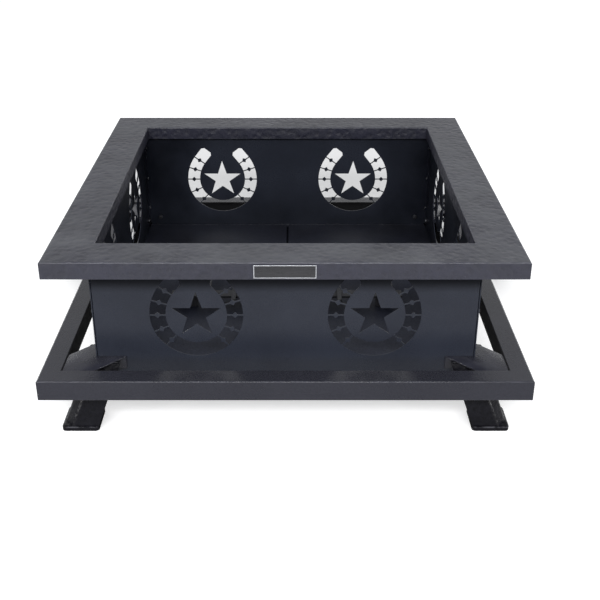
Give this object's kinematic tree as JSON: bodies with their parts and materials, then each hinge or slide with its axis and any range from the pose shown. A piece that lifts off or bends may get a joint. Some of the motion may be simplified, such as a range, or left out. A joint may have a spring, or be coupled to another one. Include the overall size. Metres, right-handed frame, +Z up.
{
  "type": "fire pit",
  "caption": "Square steel fire pit with a wide flat rim, horseshoe and star cut-outs in its walls, a lower tube frame on splayed angle legs and a lift-out fire grate.",
  "frame": {"origin": "on the ground under the middle of the square", "axes": "+Z up, -Y towards the front with the name plate, +X to the right seen from the front"},
  "size_m": [0.966, 0.966, 0.381],
  "materials": {
    "rim_coat": "slate grey powder coat with a hammered top",
    "body_coat": "dark slate powder coat, satin",
    "frame_coat": "dark slate powder coat, fine grain",
    "floor_coat": "heat-resistant dark coat",
    "leg_coat": "black paint, semi-gloss",
    "plate_metal": "black plate with a bare raised border",
    "hardware": "black oxide steel",
    "grate_paint": "matt black heat-resistant paint"
  },
  "bodies": {
    "pit": {"rim_front": "rim_coat", "wall_front": "body_coat", "rail_front": "frame_coat", "rim_right": "rim_coat", "wall_right": "body_coat", "rail_right": "frame_coat", "rim_back": "rim_coat", "wall_back": "body_coat", "rail_back": "frame_coat", "rim_left": "rim_coat", "wall_left": "body_coat", "rail_left": "frame_coat", "rim_splice_front_left": "rim_coat", "gusset_front_left": "frame_coat", "leg_front_left": "leg_coat", "foot_pad_front_left": "leg_coat", "rim_splice_front_right": "rim_coat", "gusset_front_right": "frame_coat", "leg_front_right": "leg_coat", "foot_pad_front_right": "leg_coat", "rim_splice_back_right": "rim_coat", "gusset_back_right": "frame_coat", "leg_back_right": "leg_coat", "foot_pad_back_right": "leg_coat", "rim_splice_back_left": "rim_coat", "gusset_back_left": "frame_coat", "leg_back_left": "leg_coat", "foot_pad_back_left": "leg_coat", "floor_left": "floor_coat", "floor_right": "floor_coat", "floor_support": "floor_coat", "name_plate": "plate_metal", "gusset_bolts": "hardware", "gusset_nuts": "hardware"},
    "fire_grate": {"grate_foot_front_left": "grate_paint", "grate_foot_front_right": "grate_paint", "grate_foot_back_right": "grate_paint", "grate_foot_back_left": "grate_paint", "grate_bars": "grate_paint", "grate_cross_front": "grate_paint", "grate_cross_back": "grate_paint"}
  },
  "joints": [
    {"name": "grate_lift", "type": "slide", "parent": "pit", "child": "fire_grate", "axis": [0, 0, 1], "range_m": [0, 0.35]}
  ]
}
